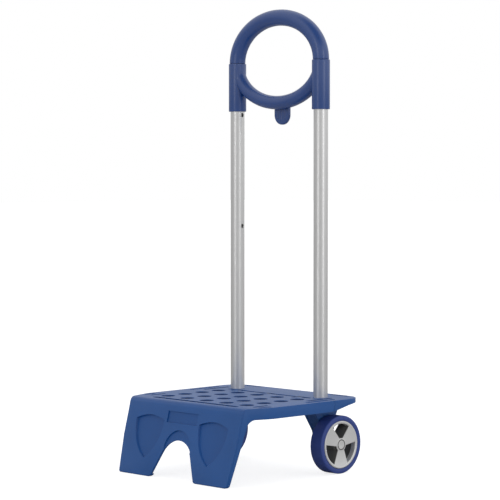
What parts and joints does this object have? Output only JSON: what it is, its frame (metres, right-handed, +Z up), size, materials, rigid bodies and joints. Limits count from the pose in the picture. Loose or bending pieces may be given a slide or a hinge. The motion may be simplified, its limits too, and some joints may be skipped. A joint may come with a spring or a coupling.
{
  "type": "folding platform cart",
  "caption": "School-bag trolley: moulded folding platform with a slanted foot, rear wheels, tubular mast and a ring-shaped telescopic handle.",
  "frame": {"origin": "on the floor, midway between the wheels, straight below the wheel axis", "axes": "+X to the cart's right, the platform reaches towards -Y, +Z up along the mast"},
  "size_m": [0.279, 0.2704, 0.7055],
  "materials": {
    "bush_acetal": "natural acetal",
    "guide_nylon": "grey nylon, natural finish",
    "moulded_blue": "satin moulded polypropylene, fine texture",
    "ring_blue": "satin moulded polypropylene, smooth grip",
    "steel": "zinc-plated steel",
    "tube_aluminium": "satin anodised tube, drawn lengthwise",
    "tyre_blue": "solid blue thermoplastic rubber",
    "wheel_grey": "dark grey glass-filled nylon",
    "wheel_silver": "silver-painted plastic cap"
  },
  "bodies": {
    "mast": {"rear_frame": "moulded_blue", "mast_tube_left": "tube_aluminium", "mast_tube_right": "tube_aluminium", "ring_yoke": "ring_blue", "tube_bush_left": "guide_nylon", "tube_bush_right": "guide_nylon", "mast_bolts": "steel", "collar_screws": "steel", "hinge_pin": "steel", "stub_axle_left": "steel", "stub_axle_right": "steel", "axle_washers": "steel", "axle_retainers": "steel", "lever_pin": "steel", "lever_spring": "steel"},
    "platform": {"deck": "moulded_blue"},
    "handle": {"grip": "ring_blue", "inner_tube_left": "tube_aluminium", "inner_tube_right": "tube_aluminium", "grip_rivets": "steel", "tube_guide_left": "guide_nylon", "tube_guide_right": "guide_nylon", "guide_rivets": "steel", "button_spring_left": "steel", "button_spring_right": "steel"},
    "button_left": {"snap_button_left": "steel"},
    "button_right": {"snap_button_right": "steel"},
    "lever": {"strap_lever": "ring_blue"},
    "wheel_left": {"wheel_core_left": "wheel_grey", "tyre_left": "tyre_blue", "wheel_cap_left": "wheel_silver", "wheel_bush_left": "bush_acetal"},
    "wheel_right": {"wheel_core_right": "wheel_grey", "tyre_right": "tyre_blue", "wheel_cap_right": "wheel_silver", "wheel_bush_right": "bush_acetal"}
  },
  "joints": [
    {"name": "platform_fold", "type": "hinge", "parent": "mast", "child": "platform", "pos_m": [0, -0.026, 0.1076], "axis": [-1, 0, 0], "range_deg": [0, 90]},
    {"name": "handle_slide", "type": "slide", "parent": "mast", "child": "handle", "axis": [0, 0, 1], "range_m": [0, 0.349]},
    {"name": "snap_left", "type": "slide", "parent": "handle", "child": "button_left", "axis": [-1, 0, 0], "range_m": [0, 0.0015], "stiffness_N_per_m": 600, "springref_m": -0.004, "deforming": ["button_spring_left"]},
    {"name": "snap_right", "type": "slide", "parent": "handle", "child": "button_right", "axis": [1, 0, 0], "range_m": [0, 0.0015], "stiffness_N_per_m": 600, "springref_m": -0.004, "deforming": ["button_spring_right"]},
    {"name": "lever_swing", "type": "hinge", "parent": "mast", "child": "lever", "pos_m": [0, 0.00925, 0.5642], "axis": [1, 0, 0], "range_deg": [0, 25], "stiffness_Nm_per_rad": 0.25, "springref_deg": -17.19},
    {"name": "wheel_left_spin", "type": "hinge", "parent": "mast", "child": "wheel_left", "pos_m": [-0.123, 0, 0.044], "axis": [1, 0, 0], "continuous": true},
    {"name": "wheel_right_spin", "type": "hinge", "parent": "mast", "child": "wheel_right", "pos_m": [0.123, 0, 0.044], "axis": [1, 0, 0], "continuous": true}
  ]
}
